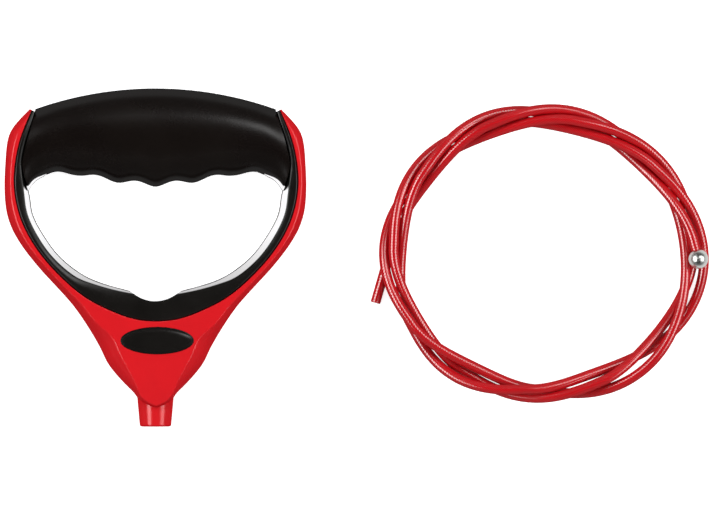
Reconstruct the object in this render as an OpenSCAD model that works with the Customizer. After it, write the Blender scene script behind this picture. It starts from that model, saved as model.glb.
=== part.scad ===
// D-shaped pull handle with its coated cable.
// X runs across the handle, Y along it with the grip at +Y, and Z up through its front.
// The handle lies on its back on Z = 0, and its cable is coiled beside it at +X.

/* [Handle] */
// Width over the two red arms
handle_w = 145; // [138:0.2:152]
// Height of the grip's top above the middle of the handle
grip_top = 81.1; // [79:0.1:84]
// Distance from the middle of the handle down to the neck's open end
neck_end = 81.1; // [78:0.1:90]
// Half of the body's thickness over the flat of its back
body_half = 13.4; // [12.6:0.1:15]

/* [Grip] */
// Radius of the grip's top arc
top_arc_r = 178; // [150:1:220]
// How far the grip's front stands above the mid plane
grip_front = 15; // [13:0.1:18]
// Height of the grip's underside at the middle finger ridge
grip_under = 33.8; // [31:0.1:35]
// Pitch of the finger ridges
finger_pitch = 18.4; // [17:0.1:20]
// Depth of the finger hollows
finger_depth = 1.9; // [0.8:0.1:2.6]
// Height of the core bar inside the grip
bar_h = 16; // [12:0.5:18]
// Thickness of the core bar inside the grip
bar_t = 14; // [10:0.5:16]

/* [Shells] */
// Height of the rib on the frame that both shells hold
rib_h = 3; // [2:0.1:4]
// Depth of that rib
rib_d = 1.5; // [0.8:0.1:1.8]
// Step from the red shells down to the black frame
frame_step = 0.7; // [0.3:0.1:1.2]
// Thickness of the tongues over the neck
tongue_t = 1.6; // [1.4:0.1:2.6]

/* [Neck and ball seat] */
// Radius of the neck at its open end
neck_r = 7.6; // [6.6:0.1:8]
// Radius of the neck where it leaves the shells
neck_root_r = 9.2; // [8.2:0.1:9.4]
// Radius of the cable's bore through the neck
bore_r = 3; // [2.7:0.05:3.4]
// Radius of the nozzle's collar in the shells
collar_r = 10.6; // [9.8:0.1:11]
// Length of the collar
collar_l = 4; // [3:0.5:6]
// Radius of the ball's pocket above the seat
pocket_r = 5.3; // [5:0.05:5.6]
// Radius of the steel seat under the ball
seat_r = 6.8; // [6:0.1:7.2]
// Thickness of the steel seat
seat_t = 2; // [1.5:0.1:2.4]
// Radius of the notch that the ball goes in by
notch_r = 17.5; // [16:0.1:19]
// Depth of that notch below the opening
notch_d = 3.2; // [2.4:0.1:4]

/* [Screws and badge] */
// Radius of the screws' shanks
screw_r = 1.5; // [1.2:0.05:1.7]
// Radius of the screws' heads
head_r = 3.2; // [2.6:0.1:3.4]
// Length of the screws below their heads
screw_l = 18; // [15:0.5:19]
// Depth of the counterbores over the screws' heads
head_sink = 1.4; // [0.8:0.1:2]
// Length of the oval badge
badge_w = 35; // [30:0.5:36]
// Height of the oval badge
badge_h = 13; // [10:0.5:14]
// Thickness of the badge
badge_t = 1.6; // [1.2:0.1:2.2]
// Depth of the badge's recess
badge_sink = 0.8; // [0.5:0.1:1]

/* [Cable] */
// Diameter over the cable's coating
cable_d = 4.8; // [4.4:0.1:5]
// Diameter of the wire rope inside it
rope_d = 3.2; // [2.8:0.1:3.4]
// Diameter of the steel ball
ball_d = 9.5; // [9.2:0.1:9.9]

/* [Hidden] */
$fn = 96;
fit = 0.05;             // clearance between pieces that are held in one another
end_gap = 0.15;         // clearance between the grip's ends and the frame
past = 1;               // how far a cutting tool runs past the face that it cuts
red = "#d81e28";
black = "#1c1a18";
steel = "#b9bdc1";

// Outlines of the right half, from the arm's tip round to the centre line, as [x, y].
// The same knot on two outlines is the same place along the arm.
shell_edge = [[60.4, 71.1], [69, 62], [71.4, 54], [72.1, 44], [72.5, 33.5], [71.3, 20], [65.7, 8],
    [56.5, -4.2], [46.4, -15.2], [39.1, -23.5], [32.4, -33.2], [26.8, -42.7], [22.6, -51.2],
    [16, -59.2], [9.5, -65.6]];
shell_ridge = [[59.4, 70.6], [66, 61.6], [68.7, 53.5], [70, 43.8], [70.3, 33.2], [68.3, 20.4],
    [62.9, 8.6], [54, -3.3], [43.6, -14.4], [35.6, -22.6], [28.5, -31.5], [20.5, -38.8],
    [16.6, -47.5], [11.2, -57.6], [8.4, -64.2]];
seam = [[58.8, 70.4], [63.1, 61.2], [66, 53], [67.9, 43.5], [68.2, 33], [65.9, 20.9], [60.8, 9.4],
    [52.6, -2.2], [41.6, -13.3], [32.5, -20.2], [23.9, -24.6], [16.3, -27.8], [10.2, -29.6], [5.6, -30.3],
    [2.7, -30.5], [0, -30.6]];
frame_brow = [[58.2, 69.9], [61.1, 60.7], [63.4, 52.6], [64.7, 43.3], [63.5, 31.8], [62, 20.8],
    [56.6, 9.4], [49.4, -0.4], [39.4, -9.1], [30.3, -12.7], [22.6, -15], [16, -16.5], [10.4, -17.5],
    [6, -18.2], [3, -18.5], [0, -18.6]];
opening = [[57.8, 69.6], [60.6, 60.4], [62.8, 52.4], [64.2, 43], [60.6, 30.6], [59.2, 20.6],
    [53.2, 9.6], [45.9, 0], [36, -7.8], [28.2, -11.6], [21, -13.9], [15, -15.5], [10, -16.8],
    [6, -17.4], [3, -17.7], [0, -17.8]];

outline_w = 145.1;      // width that these outlines are drawn at
outline_top = 81.1;     // height that they are drawn at
tongue_y = -65.6;       // where the shells' edges end and their tongues begin
tongue_l = 5.7;         // how far a tongue reaches along the neck
ridge_in = 0.9;         // how far the ridge lies inside the tongue's edge

// Height of the shells' faces above the mid plane against y, at a body_half of 1
face_rise = [[tongue_y - tongue_l, (neck_root_r + tongue_t) / body_half], [-46.5, 1], [-31, 1],
    [-18, 0.975], [0, 0.925], [36, 0.925], [52, 0.905], [61, 0.845], [71, 0.66]];

stations = 28;          // sections from an arm's tip to the centre line
tongue_share = 1 / 15;  // share of those sections that lies on the tongue
edge_steps = 6;         // steps of a section's rounded side
panel_steps = 3;        // steps of a section across its panel
wall_steps = 5;         // steps of the opening's wall, from its brow to the mid plane
side_end = 65;          // angle at which a side's quarter ellipse stops, at the ridge
wall_curve = 1.6;       // power of the curve that the opening's wall goes down by
brow_share = 0.965;     // height of the frame's brow as a share of the shells' faces
lip_in = 0.7;           // width of the rounded lip along the seam
lip_down = 0.8;         // drop of that lip
lip_edge = 0.1;         // drop of its inner edge

mid_z = body_half;
sx = handle_w / outline_w;
sy = grip_top / outline_top;

// --- Curves ---

function unit(v) = v / norm(v);

function catmull(a, b, c, d, t) =
    (2 * b + (c - a) * t + (2 * a - 5 * b + 4 * c - d) * t * t + (3 * b - a - 3 * c + d) * t * t * t) / 2;

// A point at share u of a list of knots. A list that ends on the centre line goes on mirrored.
function along(knots, u) =
    let (n = len(knots) - 1, s = min(max(u, 0), 1) * n, i = min(floor(s), n - 1))
    let (a = i > 0 ? knots[i - 1] : 2 * knots[0] - knots[1])
    let (last = knots[n][0] == 0 ? [-knots[n - 1][0], knots[n - 1][1]] : 2 * knots[n] - knots[n - 1])
    let (d = i + 2 > n ? last : knots[i + 2])
    let (p = catmull(a, knots[i], knots[i + 1], d, s - i))
    [p[0] * sx, p[1] > 0 ? p[1] * sy : p[1]];

// The shells' outer outlines end in the tongue, a quarter ellipse over the neck.
function with_tongue(knots, u, inset) =
    u <= 1 - tongue_share
        ? along(knots, u / (1 - tongue_share))
        : let (a = (u - 1 + tongue_share) / tongue_share * 90, w = knots[len(knots) - 1][0])
          [w * sx * cos(a), knots[len(knots) - 1][1] - (tongue_l - inset / 2) * sin(a)];

function edge_at(u) = with_tongue(shell_edge, u, 0);
function ridge_at(u) = with_tongue(shell_ridge, u, ridge_in);
function seam_at(u) = along(seam, u);
function rise(y) = body_half * lookup(y, face_rise);
function rib_at(u) = min(rib_d, norm(edge_at(u) - seam_at(u)) * 0.3);
function out_of_seam(u) = unit(edge_at(u) - seam_at(u));
function xyz(p, z) = [p[0], p[1], z];

// Shares of the way along the arm, from the right tip over the centre line to the left tip.
function half_u() = [for (i = [0:stations]) pow(i / stations, 0.92)];
function full_u() = concat(half_u(), [for (i = [stations - 1:-1:0]) 2 - half_u()[i]]);
function folded(u) = u > 1 ? 2 - u : u;
function flip(p, u) = u > 1 ? [-p[0], p[1], p[2]] : p;

// --- Lofts ---

// Joins rings of n points each into one closed solid, with the ends as fans from point hub.
module loft(rings, hub = 0) {
    n = len(rings[0]);
    m = len(rings);
    sides = [for (i = [0:m - 2], j = [0:n - 1]) let (k = (j + 1) % n)
        each [[i * n + j, (i + 1) * n + k, i * n + k], [i * n + j, (i + 1) * n + j, (i + 1) * n + k]]];
    first = [for (j = [1:n - 2]) [hub, (hub + j) % n, (hub + j + 1) % n]];
    last = [for (j = [1:n - 2]) [(m - 1) * n + hub, (m - 1) * n + (hub + j + 1) % n,
        (m - 1) * n + (hub + j) % n]];
    polyhedron([for (ring = rings) each ring], concat(sides, first, last), convexity = 8);
}

// A shell's section at u: its outer edge, rounded side, ridge, panel and grooved seam wall.
function shell_section(u) =
    let (e = edge_at(u), r = ridge_at(u), s = seam_at(u), top = rise(r[1]))
    let (g = s + out_of_seam(u) * (rib_at(u) + fit), half_rib = rib_h / 2 + fit)
    concat(
        [for (i = [0:edge_steps - 1]) let (a = side_end * i / edge_steps)
            xyz(e + (r - e) * (1 - cos(a)) / (1 - cos(side_end)), top * sin(a) / sin(side_end))],
        [for (i = [0:panel_steps]) let (p = r + (s - r) * i / panel_steps, t = i / panel_steps)
            xyz(p, rise(p[1]) - frame_step * 0.5 * pow(t, 4))],
        [xyz(s, half_rib), xyz(g, half_rib), xyz(g, 0)]);

module shell_half() {
    us = full_u();
    hub = edge_steps + panel_steps + 2;
    loft([for (u = us) let (ring = shell_section(folded(u))) [for (p = ring) flip(p, u)]], hub);
}

// The frame's section at u: the rib, the lip along the seam, the brow and the opening's wall.
function frame_half_section(u) =
    let (s = seam_at(u), b = along(frame_brow, u), o = along(opening, u), n = out_of_seam(u))
    let (in = unit(o - s), h = rise(s[1]) - frame_step)
    let (hb = rise(b[1]) * brow_share - frame_step)
    let (lip = min(lip_in, norm(o - s) * 0.2))
    concat(
        [xyz(s + n * rib_at(u), rib_h / 2), xyz(s, rib_h / 2), xyz(s, h - lip_down),
         xyz(s + in * lip, h - lip_edge), xyz((s + b) / 2, h)],
        [for (i = [0:wall_steps]) let (t = i / wall_steps)
            xyz(b + (o - b) * t, hb * (1 - pow(t, wall_curve)))]);

function frame_section(u) =
    let (half = frame_half_section(u))
    concat(half, [for (i = [len(half) - 2:-1:0]) [half[i][0], half[i][1], -half[i][2]]]);

// --- Grip ---

function top_line(x) = grip_top - top_arc_r + sqrt(top_arc_r * top_arc_r - x * x);

// Heights of the grip's underside over its middle, without its finger hollows
under_rise = [[0, 0], [19, 2.1], [37, 5.6], [47, 5.4], [52.6, 4.9], [54.8, 4.4], [56.6, 3.3], [58.8, 0.9],
    [60.6, -1.6], [62.3, -4.5]];
grip_ends = 58.6;       // x at which the grip's top meets the arms' tips
under_ends = 62.2;      // x at which its underside meets the frame
grip_share = 0.28;      // share of the arm that the grip's ends lie along
grip_steps = 44;        // sections along the grip
grip_sides = 24;        // sides of its section
grip_curve = 2.35;      // power of the superellipse that the section is
front_thin = 0.16;      // how much thinner the grip's front is at its ends
rear_thin = 0.1;        // how much thinner its rear is there

function under_line(x) = grip_under + lookup(abs(x) / sx, under_rise);
function hollow(x) = finger_depth * (1 - cos(360 * x / finger_pitch)) / 2;

// The x at height y of a share of the way from the frame's inner face to its seam
function band_x(y, share) = lookup(y, [for (i = [0:24])
    let (u = i / 24 * grip_share, o = along(opening, u), s = along(seam, u), p = o + (s - o) * share)
    [p[1], p[0]]]);

function grip_section(v) =
    let (yt = top_line(v * grip_ends * sx), yb = under_line(v * under_ends * sx), end = pow(abs(v), 3))
    let (yc = (yt + yb) / 2, h = (yt - yb) / 2, e = 2 / grip_curve, deep = hollow(v * under_ends * sx))
    let (front = grip_front * (1 - front_thin * end), rear = body_half * (1 - rear_thin * end))
    [for (i = [0:grip_sides - 1]) let (c = cos(360 * i / grip_sides), s = sin(360 * i / grip_sides))
        let (y = yc + h * sign(c) * pow(abs(c), e) + deep * pow(max(-c, 0), 2))
        let (z = sign(s) * pow(abs(s), e))
        [v * (band_x(y, 0) - end_gap), y, z * (s > 0 ? front : rear)]];

// Outline of the core bar, which ends inside both side bands of the frame
function bar_outline(grow) =
    let (middle = (grip_top + grip_under) / 2, lo = middle - bar_h / 2, hi = middle + bar_h / 2)
    let (wide = band_x(lo, 0.5) + grow, narrow = band_x(hi, 0.5) + grow)
    [[-wide, lo - grow], [wide, lo - grow], [narrow, hi + grow], [-narrow, hi + grow]];

module core_bar(grow = 0)
    translate([0, 0, mid_z - bar_t / 2 - grow])
        linear_extrude(bar_t + 2 * grow)
            polygon(bar_outline(grow));

// --- Neck and seat ---

nozzle_top = -33.5;     // y of the nozzle's upper end, under the seat
spigot_r = 8;           // radius of the nozzle inside the shells
collar_y = -44;         // y of the collar's upper face
dish = 1.2;             // width of the dished edge of the seat's hole
neck_chamfer = 0.6;     // chamfer round the neck's open end
root_in = 4;            // how far the neck reaches into the shells at its full radius
flare_l = 4;            // length over which the spigot widens to that radius

// The nozzle's outer profile as [r, distance along -Y], grown by the shells' clearance
function nozzle_profile(grow) =
    let (a = -nozzle_top, c = -collar_y, root = -tongue_y)
    [[0, a - grow], [spigot_r + grow, a - grow], [spigot_r + grow, c - grow],
     [collar_r + grow, c - grow], [collar_r + grow, c + collar_l + grow],
     [spigot_r + grow, c + collar_l + grow], [spigot_r + grow, root - root_in - flare_l],
     [neck_root_r + grow, root - root_in], [neck_r + grow, neck_end - neck_chamfer],
     [neck_r - neck_chamfer + grow, neck_end], [0, neck_end]];

// Turns a profile about the handle's long axis, with its length along -Y
module about_neck() translate([0, 0, mid_z]) rotate([90, 0, 0]) children();

module nozzle_space() about_neck() rotate_extrude() polygon(nozzle_profile(fit));

module seat_space() about_neck() translate([0, 0, -nozzle_top - seat_t - fit])
    cylinder(h = seat_t + 2 * fit, r = seat_r + fit);

opening_low = opening[len(opening) - 1][1];

// The ball's pocket, from the notch down to the seat
module pocket() about_neck() translate([0, 0, -opening_low - past])
    cylinder(h = opening_low + past - nozzle_top - seat_t + fit / 2, r = pocket_r);

// --- Screws ---

screw_places = [[19.5, -36.5], [13.8, -53.2]];
head_h = 2.2;           // height of the heads
pilot_play = 0.05;      // clearance round the threads in the front shell
shank_play = 0.2;       // clearance round the shanks and heads in the rear shell
tip_l = 2;              // length of the screws' points
tip_r = 0.3;            // radius of their ends
slot_w = 0.8;           // width of the heads' cross recesses
slot_share = 0.6;       // share of a head's radius and height that its recess takes

module each_screw()
    for (p = screw_places, side = [-1, 1])
        translate([side * p[0] * sx, p[1], 0]) children();

// --- Badge ---

badge_at = [0.4, -39.8];
badge_edge = 0.5;       // bevel round the badge's face
badge_play = 0.1;       // clearance round it in its recess

function oval(w, h) = [for (i = [0:71]) [w / 2 * cos(i * 5), h / 2 * sin(i * 5)]];

// --- Cable ---

coil_at = [187.9, 2.2];  // middle of the coil
coil_turn = 1250;       // angle that the coil turns through, in degrees
coil_from = 4.7;        // angle at which it leaves the ball's straight start
coil_mean = 69.1;       // mean radius of the strands' middle line
coil_shift = [1.65, 220]; // how far the coil lies off round once a turn, and in which direction
coil_oval = [3.6, -5];  // the same, twice a turn
coil_three = [1.1, -26]; // the same, three times a turn
strand_swing = 4.3;     // how far a strand swings in and out of the middle line
strand_lift = 4.75;     // how far it swings up and down
strand_lean = 0.1;      // how much higher it runs on the coil's outer side
strand_high = 4.9;      // height of the strands' middle line over the lowest strand's
swing_power = 1.43;     // power of the swing, which keeps a strand near the middle line for longer
loose = [325, 50, 1.2]; // where the strands stand apart: its angle, how far it reaches, added swing
twist = 2.75;           // turns of that swing for each turn of the coil
twist_sway = [8.5, 47]; // how far the swing lags round the coil, and where it starts to
twist_start = 97;       // where in its swing the cable leaves the ball
tail_l = 32;            // straight end of the cable
start_high = 14.4;      // height of the cable's middle at the ball
start_drop = 40;        // angle over which it comes down onto the coil
tail_drop = 24;         // angle over which the last loop goes down to the floor
tail_out = 0.25;        // how far it swings out meanwhile
ring_step = 15;         // angle between the rings of the coil
tube_sides = 6;         // sides of the cable's section

function ease(t) = let (s = min(max(t, 0), 1)) s * s * (3 - 2 * s);
function sway(a) = twist_sway[0] * sin(a - twist_sway[1]);
function wave(pair, n, a) = pair[0] * cos(n * (a - pair[1]));
function power(v, n) = sign(v) * pow(abs(v), n);
function apart(a) = ease(1 - abs((a - loose[0] + 540) % 360 - 180) / loose[1]);

// The cable's middle line at angle t past the start of the coil
function coil_point(t) =
    let (a = coil_from + t, ph = twist * (t - sway(a) + sway(coil_from)) + twist_start)
    let (mean = coil_mean + wave(coil_shift, 1, a) + wave(coil_oval, 2, a) + wave(coil_three, 3, a))
    let (swing = strand_swing + loose[2] * apart(a), n = swing_power + (1 - swing_power) * apart(a))
    let (last = (t - coil_turn + tail_drop) / tail_drop)
    let (r = mean + swing * power(cos(ph), n) + tail_out * pow(max(last, 0), 2))
    let (z = cable_d / 2 + strand_high + strand_lift * (sin(ph) + strand_lean * sin(2 * ph)))
    let (down = ease(1 - t / start_drop), out = ease(last))
    let (z1 = z * (1 - down) + start_high * down, z2 = z1 * (1 - out) + (cable_d / 2 + fit) * out)
    [coil_at[0] + r * cos(a), coil_at[1] + r * sin(a), z2];

function level(v) = unit([v[0], v[1], 0]);

coil_first = coil_point(0);
coil_last = coil_point(coil_turn);
start_dir = level(coil_first - coil_point(0.1));
tail_dir = level(coil_last - coil_point(coil_turn - 0.1));
flat_at = 4.2;          // distance of the ball's flat from its middle
rope_in_ball = 3.2;     // length of the wire rope inside the ball
ball_at = coil_first + start_dir * (flat_at + cable_d);
tail_at = coil_last + tail_dir * tail_l;

// The whole middle line, from the ball's flat to the cut end
route = concat(
    [coil_first + start_dir * cable_d],
    [for (t = [0:ring_step:coil_turn]) coil_point(t)],
    [for (i = [0:3]) coil_last + tail_dir * tail_l * i / 3]);

// Direction of a path at its point i, halfway between the lengths that meet there
function heading(pts, i) =
    let (back = i > 0 ? unit(pts[i] - pts[i - 1]) : [0, 0, 0])
    let (on = i < len(pts) - 1 ? unit(pts[i + 1] - pts[i]) : [0, 0, 0])
    unit(back + on);

// A ring of the cable's section, square to the path
function ring_at(pts, i, r) =
    let (d = heading(pts, i), side = unit(cross([0, 0, 1], d)), up = cross(d, side))
    [for (j = [0:tube_sides - 1]) let (a = 360 * (j + 0.5) / tube_sides)
        pts[i] + r * (side * cos(a) + up * sin(a))];

module cord(pts, r) loft([for (i = [0:len(pts) - 1]) ring_at(pts, i, r)]);

// A tube with a bore, as one closed solid whose rings run out along its skin and back inside
module hollow_cord(pts, r, bore) {
    n = tube_sides;
    m = len(pts);
    rings = concat([for (i = [0:m - 1]) ring_at(pts, i, r)], [for (i = [m - 1:-1:0]) ring_at(pts, i, bore)]);
    faces = [for (i = [0:2 * m - 1], j = [0:n - 1]) let (k = (j + 1) % n, next = (i + 1) % (2 * m))
        each [[i * n + j, next * n + k, i * n + k], [i * n + j, next * n + j, next * n + k]]];
    polyhedron([for (ring = rings) each ring], faces, convexity = 12);
}

// The middle line as built, in straight lengths from ring to ring
function built_point(t) =
    let (s = min(max(t, 0), coil_turn), a = floor(s / ring_step) * ring_step)
    let (b = min(a + ring_step, coil_turn), f = b > a ? (s - a) / (b - a) : 0)
    coil_point(a) * (1 - f) + coil_point(b) * f;

// Least gaps of the coil to itself, of its straight end and of the ball, on points a few degrees apart
coil_gap = min([for (t = [0:2.5:coil_turn - 350], k = [1:3], d = [-8:2:8])
    if (t + 360 * k + d < coil_turn) norm(built_point(t) - built_point(t + 360 * k + d)) - cable_d]);
tail_gap = min([for (s = [0:1:tail_l], k = [1:3], a = [-8:2:60])
    norm(coil_last + tail_dir * s - built_point(coil_turn - 360 * k + a)) - cable_d]);
ball_gap = min([for (k = [1:3], a = [-20:1:20])
    norm(ball_at - built_point(360 * k + a)) - (ball_d + cable_d) / 2]);
echo(least_gap_of_coil = coil_gap, least_gap_of_tail = tail_gap, least_gap_of_ball = ball_gap);

// --- Sub-parts ---

// Red front half of the body, with the badge's recess and the pilot holes of the screws
module front_shell() color(red) difference() {
    translate([0, 0, mid_z]) shell_half();
    nozzle_space();
    seat_space();
    pocket();
    translate([badge_at[0], badge_at[1], mid_z + body_half - badge_sink])
        linear_extrude(badge_t + past)
            polygon(oval(badge_w + 2 * badge_play, badge_h + 2 * badge_play));
    each_screw() cylinder(h = head_sink + head_h + screw_l + past, r = screw_r + pilot_play, $fn = 32);
}

// Red rear half of the body, with counterbores for the screws' heads
module rear_shell() color(red) difference() {
    translate([0, 0, mid_z]) mirror([0, 0, 1]) shell_half();
    nozzle_space();
    seat_space();
    pocket();
    each_screw() {
        translate([0, 0, -past])
            cylinder(h = past + head_sink + head_h, r = head_r + shank_play, $fn = 48);
        cylinder(h = mid_z + past, r = screw_r + shank_play, $fn = 32);
    }
}

// Black frame round the hand opening, with the core bar of the grip and the ball's pocket
module inner_frame() color(black) difference() {
    union() {
        translate([0, 0, mid_z])
            loft([for (u = full_u()) [for (p = frame_section(folded(u))) flip(p, u)]]);
        core_bar();
    }
    translate([0, opening_low + notch_r - notch_d, 0]) cylinder(h = 2 * mid_z, r = notch_r);
    pocket();
    seat_space();
}

// Soft grip moulded round the core bar, with its finger hollows underneath
module grip() color(black) difference() {
    translate([0, 0, mid_z])
        loft([for (i = [0:grip_steps]) grip_section(2 * i / grip_steps - 1)]);
    core_bar(fit);
}

// Tapered neck with a collar that the shells hold, bored for the cable
module neck_nozzle() color(red) difference() {
    about_neck() rotate_extrude() polygon(nozzle_profile(0));
    about_neck() cylinder(h = neck_end + past, r = bore_r);
}

// Steel washer, dished to take the ball
module ball_seat() color(steel) about_neck() translate([0, 0, -nozzle_top - seat_t]) difference() {
    cylinder(h = seat_t, r = seat_r);
    translate([0, 0, -past]) cylinder(h = seat_t + 2 * past, r = bore_r);
    cylinder(h = seat_t / 2, r1 = bore_r + dish, r2 = bore_r);
}

// Bare oval badge with a bevelled edge
module badge() color(black) translate([badge_at[0], badge_at[1], mid_z + body_half - badge_sink]) {
    linear_extrude(badge_t - badge_edge) polygon(oval(badge_w, badge_h));
    translate([0, 0, badge_t - badge_edge])
        linear_extrude(badge_edge) polygon(oval(badge_w - 2 * badge_edge, badge_h - 2 * badge_edge));
}

// Four self-tapping screws with cross recesses, driven from the back
module shell_screws() color(steel) each_screw() translate([0, 0, head_sink]) {
    difference() {
        cylinder(h = head_h, r = head_r, $fn = 48);
        for (turn = [45, 135]) rotate(turn)
            cube([2 * head_r * slot_share, slot_w, 2 * head_h * slot_share], center = true);
    }
    translate([0, 0, head_h]) cylinder(h = screw_l - tip_l, r = screw_r, $fn = 32);
    translate([0, 0, head_h + screw_l - tip_l]) cylinder(h = tip_l, r1 = screw_r, r2 = tip_r, $fn = 32);
}

// Coating of the coiled cable, from the ball's flat to the cut end
module cable_jacket() color(red) hollow_cord(route, cable_d / 2, rope_d / 2 + fit);

// Wire rope inside it, from within the ball to the cut end
module cable_core() color(steel)
    cord(concat([route[0] + start_dir * rope_in_ball], route), rope_d / 2);

// Steel ball swaged on the cable's end, with a flat where the coating stops
module cable_ball() color(steel) translate(ball_at)
    rotate([0, 90, atan2(-start_dir[1], -start_dir[0])]) difference() {
        sphere(d = ball_d);
        translate([0, 0, flat_at]) translate([-ball_d, -ball_d, 0]) cube(2 * ball_d);
        translate([0, 0, flat_at - rope_in_ball]) cylinder(h = ball_d, r = rope_d / 2 + fit, $fn = 48);
    }

front_shell();
rear_shell();
inner_frame();
grip();
neck_nozzle();
ball_seat();
badge();
shell_screws();
cable_jacket();
cable_core();
cable_ball();
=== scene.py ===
import math

import bmesh
import bpy
import numpy as np
from mathutils import Matrix, Vector


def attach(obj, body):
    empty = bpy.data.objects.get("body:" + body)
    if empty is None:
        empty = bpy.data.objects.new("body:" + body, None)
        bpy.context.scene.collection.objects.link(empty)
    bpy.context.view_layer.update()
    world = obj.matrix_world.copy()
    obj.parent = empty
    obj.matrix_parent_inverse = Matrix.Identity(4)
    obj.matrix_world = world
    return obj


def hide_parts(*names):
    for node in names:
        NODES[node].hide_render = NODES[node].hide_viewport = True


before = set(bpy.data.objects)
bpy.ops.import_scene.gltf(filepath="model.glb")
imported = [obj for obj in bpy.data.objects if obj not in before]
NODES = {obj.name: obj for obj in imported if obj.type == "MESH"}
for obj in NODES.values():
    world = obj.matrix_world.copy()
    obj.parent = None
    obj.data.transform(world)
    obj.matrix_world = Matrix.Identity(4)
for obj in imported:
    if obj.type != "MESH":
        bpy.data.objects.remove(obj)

scene = bpy.context.scene
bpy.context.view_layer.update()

MM = 0.001

# --- Camera ---------------------------------------------------------------------------------

VIEW_WIDTH = 345.6 * MM       # what the picture's 720 pixels take in at the handle's mid plane
VIEW_CENTRE = Vector((98.2 * MM, -1.2 * MM, 13.4 * MM))
CAMERA_HEIGHT = 6.0
CAMERA_LEAN = 2.6             # degrees from straight above, towards the handle's side
SENSOR = 36.0


def make_camera():
    data = bpy.data.cameras.new("camera")
    camera = bpy.data.objects.new("camera", data)
    scene.collection.objects.link(camera)
    lean = math.radians(CAMERA_LEAN)
    away = Vector((-math.sin(lean), 0, math.cos(lean)))
    camera.location = VIEW_CENTRE + away * CAMERA_HEIGHT
    side = Vector((math.cos(lean), 0, math.sin(lean)))
    camera.rotation_euler = Matrix((side, Vector((0, 1, 0)), away)).transposed().to_euler()
    data.sensor_width = SENSOR
    data.lens = SENSOR * CAMERA_HEIGHT / VIEW_WIDTH
    data.clip_start, data.clip_end = 0.05, 60.0
    scene.camera = camera


make_camera()

# --- Cable: its route, as in the part's source ----------------------------------------------

CABLE_D = 4.8
ROPE_R = 1.6
BALL_R = 4.75
BALL_FLAT = 4.2
COIL_AT = (187.9, 2.2)
COIL_TURN = 1250.0
COIL_FROM = 4.7
COIL_MEAN = 69.1
COIL_WAVES = ((1.65, 220.0, 1), (3.6, -5.0, 2), (1.1, -26.0, 3))
STRAND_SWING = 4.3
STRAND_LIFT = 4.75
STRAND_LEAN = 0.1
STRAND_HIGH = 4.9
SWING_POWER = 1.43
LOOSE = (325.0, 50.0, 1.2)
TWIST = 2.75
TWIST_SWAY = (8.5, 47.0)
TWIST_START = 97.0
TAIL = 32.0
START_HIGH = 14.4
START_DROP = 40.0
TAIL_DROP = 24.0
TAIL_OUT = 0.25
FLOOR_GAP = 0.05


def ease(t):
    s = np.clip(t, 0, 1)
    return s * s * (3 - 2 * s)


def sway(angle):
    return TWIST_SWAY[0] * np.sin(np.radians(angle - TWIST_SWAY[1]))


def coil_points(turned):
    """The cable's middle line at these angles past the coil's start, in millimetres."""
    turned = np.asarray(turned, float)
    angle = COIL_FROM + turned
    phase = np.radians(TWIST * (turned - sway(angle) + sway(COIL_FROM)) + TWIST_START)
    mean = COIL_MEAN + sum(a * np.cos(np.radians(n * (angle - at))) for a, at, n in COIL_WAVES)
    apart = ease(1 - np.abs((angle - LOOSE[0] + 540) % 360 - 180) / LOOSE[1])
    power = SWING_POWER + (1 - SWING_POWER) * apart
    swing = np.sign(np.cos(phase)) * np.abs(np.cos(phase)) ** power
    last = (turned - COIL_TURN + TAIL_DROP) / TAIL_DROP
    radius = mean + (STRAND_SWING + LOOSE[2] * apart) * swing + TAIL_OUT * np.maximum(last, 0) ** 2
    height = (CABLE_D / 2 + STRAND_HIGH
              + STRAND_LIFT * (np.sin(phase) + STRAND_LEAN * np.sin(2 * phase)))
    down = ease(1 - turned / START_DROP)
    out = ease(last)
    height = height * (1 - down) + START_HIGH * down
    height = height * (1 - out) + (CABLE_D / 2 + FLOOR_GAP) * out
    around = np.radians(angle)
    return np.stack([COIL_AT[0] + radius * np.cos(around),
                     COIL_AT[1] + radius * np.sin(around), height], axis=-1)


def level(v):
    flat = np.array([v[0], v[1], 0.0])
    return flat / np.linalg.norm(flat)


coil_first, coil_last = coil_points([0.0, COIL_TURN])
start_way = level(coil_first - coil_points([0.1])[0])
tail_way = level(coil_last - coil_points([COIL_TURN - 0.1])[0])
ball_at = coil_first + start_way * (BALL_FLAT + CABLE_D)
tail_at = coil_last + tail_way * TAIL


def evenly(points, step):
    """The same line with its points a step apart."""
    gone = np.r_[0, np.cumsum(np.linalg.norm(np.diff(points, axis=0), axis=1))]
    count = int(round(gone[-1] / step)) + 1
    at = np.linspace(0, gone[-1], count)
    return np.stack([np.interp(at, gone, points[:, k]) for k in range(3)], axis=-1)


def route_of(step):
    start = coil_first + start_way * CABLE_D * np.linspace(1, 0.1, 6)[:, None]
    tail = coil_last + tail_way * TAIL * np.linspace(0.02, 1, 24)[:, None]
    coil = coil_points(np.arange(0, COIL_TURN + 0.1, 0.5))
    return evenly(np.vstack([start, coil, tail]), step)


# --- Meshes ---------------------------------------------------------------------------------

SMOOTH_TO = 32.0              # degrees past which an edge stays sharp
SMOOTH_SMALL, SMOOTH_CABLE = 35.0, 40.0   # the same on the handle's small pieces, and on the cable's


def once_round(count):
    """Angles once round a circle."""
    return np.linspace(0, 2 * math.pi, count, endpoint=False)


def add_piece(name, points, faces, sharp=SMOOTH_TO):
    """A mesh object at the origin, from points in millimetres."""
    mesh = bpy.data.meshes.new(name)
    mesh.from_pydata((np.asarray(points, float) * MM).tolist(), [], [tuple(f) for f in faces])
    mesh.validate()
    piece = bpy.data.objects.new(name, mesh)
    scene.collection.objects.link(piece)
    shade(piece, sharp)
    return piece


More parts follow.
